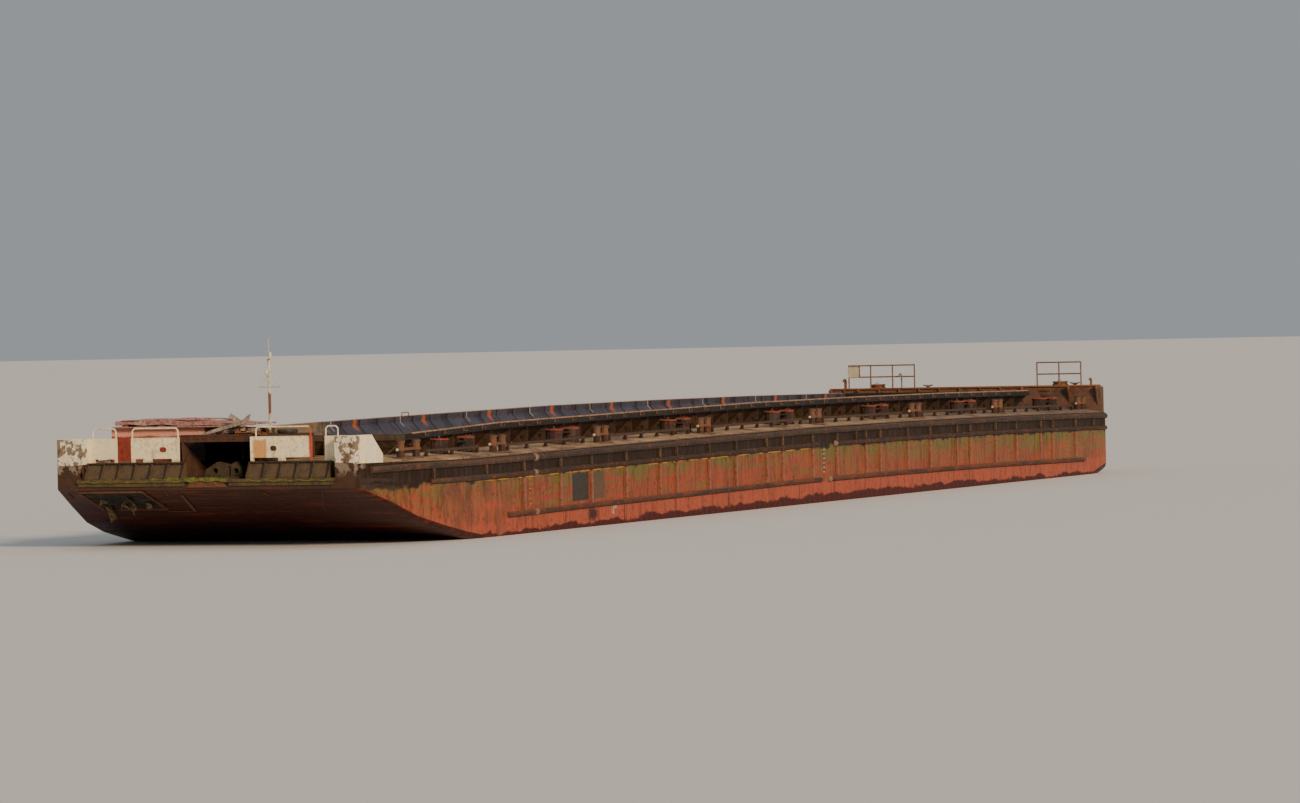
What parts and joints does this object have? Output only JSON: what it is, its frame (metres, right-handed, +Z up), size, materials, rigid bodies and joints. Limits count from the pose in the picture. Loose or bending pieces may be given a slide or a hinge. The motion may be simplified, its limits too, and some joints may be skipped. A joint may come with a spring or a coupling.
{
  "type": "river deck barge",
  "caption": "Flat river deck barge, 1:10: raked bow, open cargo box with leaning walls, side fenders, deck trunks with loose lids, bow bulwark, folding mast, stern push wall.",
  "frame": {"origin": "middle of the flat bottom, under the middle of the hull's length", "axes": "+X to the bow, +Y to port, +Z up"},
  "size_m": [8.71, 1.5286, 0.838],
  "materials": {
    "red_lead": "worn red-lead primer with rust streaks",
    "fender_steel": "scraped rusty steel",
    "deck_steel": "dusty worn steel",
    "box_steel": "dark steel with rust",
    "red_paint": "faded red paint",
    "cream_paint": "peeling cream paint",
    "white_paint": "weathered white paint",
    "dark_steel": "dark rusty steel",
    "rust": "brown rust"
  },
  "bodies": {
    "barge": {"hull": "red_lead", "rubbing_frame_port": "fender_steel", "side_deck_port_1": "deck_steel", "side_deck_port_2": "deck_steel", "side_deck_port_3": "deck_steel", "side_deck_port_4": "deck_steel", "cargo_wall_port": "box_steel", "rubbing_frame_starboard": "fender_steel", "side_deck_starboard_1": "deck_steel", "side_deck_starboard_2": "deck_steel", "side_deck_starboard_3": "deck_steel", "side_deck_starboard_4": "deck_steel", "cargo_wall_starboard": "box_steel", "cargo_wall_fore": "box_steel", "cargo_wall_aft": "box_steel", "bow_ramp_starboard": "dark_steel", "bow_ramp_port": "dark_steel", "bow_beam_starboard": "dark_steel", "bow_beam_port": "dark_steel", "bow_bulwark_port": "cream_paint", "bow_corner_port": "cream_paint", "bow_bulwark_starboard": "cream_paint", "bow_corner_starboard": "cream_paint", "coupling_lugs": "rust", "recess_roof": "rust", "recess_cheek": "cream_paint", "winch_house": "red_paint", "winch_house_cover": "red_paint", "mast_shoe": "white_paint", "push_wall": "rust", "stern_platform": "rust", "stern_railing_port": "rust", "stern_hatch_port": "dark_steel", "stern_railing_starboard": "rust", "stern_hatch_starboard": "dark_steel"},
    "trunk_lid_port_1": {"trunk_lid_port_1": "red_paint"},
    "trunk_lid_port_2": {"trunk_lid_port_2": "red_paint"},
    "trunk_lid_port_3": {"trunk_lid_port_3": "red_paint"},
    "trunk_lid_port_4": {"trunk_lid_port_4": "red_paint"},
    "trunk_lid_port_5": {"trunk_lid_port_5": "red_paint"},
    "trunk_lid_port_6": {"trunk_lid_port_6": "red_paint"},
    "trunk_lid_port_7": {"trunk_lid_port_7": "red_paint"},
    "trunk_lid_starboard_1": {"trunk_lid_starboard_1": "red_paint"},
    "trunk_lid_starboard_2": {"trunk_lid_starboard_2": "red_paint"},
    "trunk_lid_starboard_3": {"trunk_lid_starboard_3": "red_paint"},
    "trunk_lid_starboard_4": {"trunk_lid_starboard_4": "red_paint"},
    "trunk_lid_starboard_5": {"trunk_lid_starboard_5": "red_paint"},
    "trunk_lid_starboard_6": {"trunk_lid_starboard_6": "red_paint"},
    "trunk_lid_starboard_7": {"trunk_lid_starboard_7": "red_paint"},
    "stern_lid_port": {"stern_lid_port": "red_paint"},
    "stern_lid_starboard": {"stern_lid_starboard": "red_paint"},
    "signal_mast": {"signal_mast": "white_paint"}
  },
  "joints": [
    {"name": "trunk_lid_hinge_port_1", "type": "hinge", "parent": "barge", "child": "trunk_lid_port_1", "pos_m": [3.313, 0.6, 0.4337], "axis": [0, 1, 0], "range_deg": [0, 100]},
    {"name": "trunk_lid_hinge_port_2", "type": "hinge", "parent": "barge", "child": "trunk_lid_port_2", "pos_m": [2.283, 0.6, 0.44179], "axis": [0, 1, 0], "range_deg": [0, 100]},
    {"name": "trunk_lid_hinge_port_3", "type": "hinge", "parent": "barge", "child": "trunk_lid_port_3", "pos_m": [1.083, 0.6, 0.44909], "axis": [0, 1, 0], "range_deg": [0, 100]},
    {"name": "trunk_lid_hinge_port_4", "type": "hinge", "parent": "barge", "child": "trunk_lid_port_4", "pos_m": [-0.117, 0.6, 0.45492], "axis": [0, 1, 0], "range_deg": [0, 100]},
    {"name": "trunk_lid_hinge_port_5", "type": "hinge", "parent": "barge", "child": "trunk_lid_port_5", "pos_m": [-1.317, 0.6, 0.45201], "axis": [0, 1, 0], "range_deg": [0, 100]},
    {"name": "trunk_lid_hinge_port_6", "type": "hinge", "parent": "barge", "child": "trunk_lid_port_6", "pos_m": [-2.517, 0.6, 0.44446], "axis": [0, 1, 0], "range_deg": [0, 100]},
    {"name": "trunk_lid_hinge_port_7", "type": "hinge", "parent": "barge", "child": "trunk_lid_port_7", "pos_m": [-3.717, 0.6, 0.43092], "axis": [0, 1, 0], "range_deg": [0, 100]},
    {"name": "trunk_lid_hinge_starboard_1", "type": "hinge", "parent": "barge", "child": "trunk_lid_starboard_1", "pos_m": [3.313, -0.6, 0.4337], "axis": [0, 1, 0], "range_deg": [0, 100]},
    {"name": "trunk_lid_hinge_starboard_2", "type": "hinge", "parent": "barge", "child": "trunk_lid_starboard_2", "pos_m": [2.283, -0.6, 0.44179], "axis": [0, 1, 0], "range_deg": [0, 100]},
    {"name": "trunk_lid_hinge_starboard_3", "type": "hinge", "parent": "barge", "child": "trunk_lid_starboard_3", "pos_m": [1.083, -0.6, 0.44909], "axis": [0, 1, 0], "range_deg": [0, 100]},
    {"name": "trunk_lid_hinge_starboard_4", "type": "hinge", "parent": "barge", "child": "trunk_lid_starboard_4", "pos_m": [-0.117, -0.6, 0.45492], "axis": [0, 1, 0], "range_deg": [0, 100]},
    {"name": "trunk_lid_hinge_starboard_5", "type": "hinge", "parent": "barge", "child": "trunk_lid_starboard_5", "pos_m": [-1.317, -0.6, 0.45201], "axis": [0, 1, 0], "range_deg": [0, 100]},
    {"name": "trunk_lid_hinge_starboard_6", "type": "hinge", "parent": "barge", "child": "trunk_lid_starboard_6", "pos_m": [-2.517, -0.6, 0.44446], "axis": [0, 1, 0], "range_deg": [0, 100]},
    {"name": "trunk_lid_hinge_starboard_7", "type": "hinge", "parent": "barge", "child": "trunk_lid_starboard_7", "pos_m": [-3.717, -0.6, 0.43092], "axis": [0, 1, 0], "range_deg": [0, 100]},
    {"name": "stern_lid_hinge_port", "type": "hinge", "parent": "barge", "child": "stern_lid_port", "pos_m": [-4.303, 0.483, 0.5048], "axis": [0, -1, 0], "range_deg": [0, 100]},
    {"name": "stern_lid_hinge_starboard", "type": "hinge", "parent": "barge", "child": "stern_lid_starboard", "pos_m": [-4.303, -0.51, 0.5048], "axis": [0, -1, 0], "range_deg": [0, 100]},
    {"name": "mast_fold", "type": "hinge", "parent": "barge", "child": "signal_mast", "pos_m": [4.01, 0.113, 0.496], "axis": [0, 1, 0], "range_deg": [-84, 0]}
  ]
}
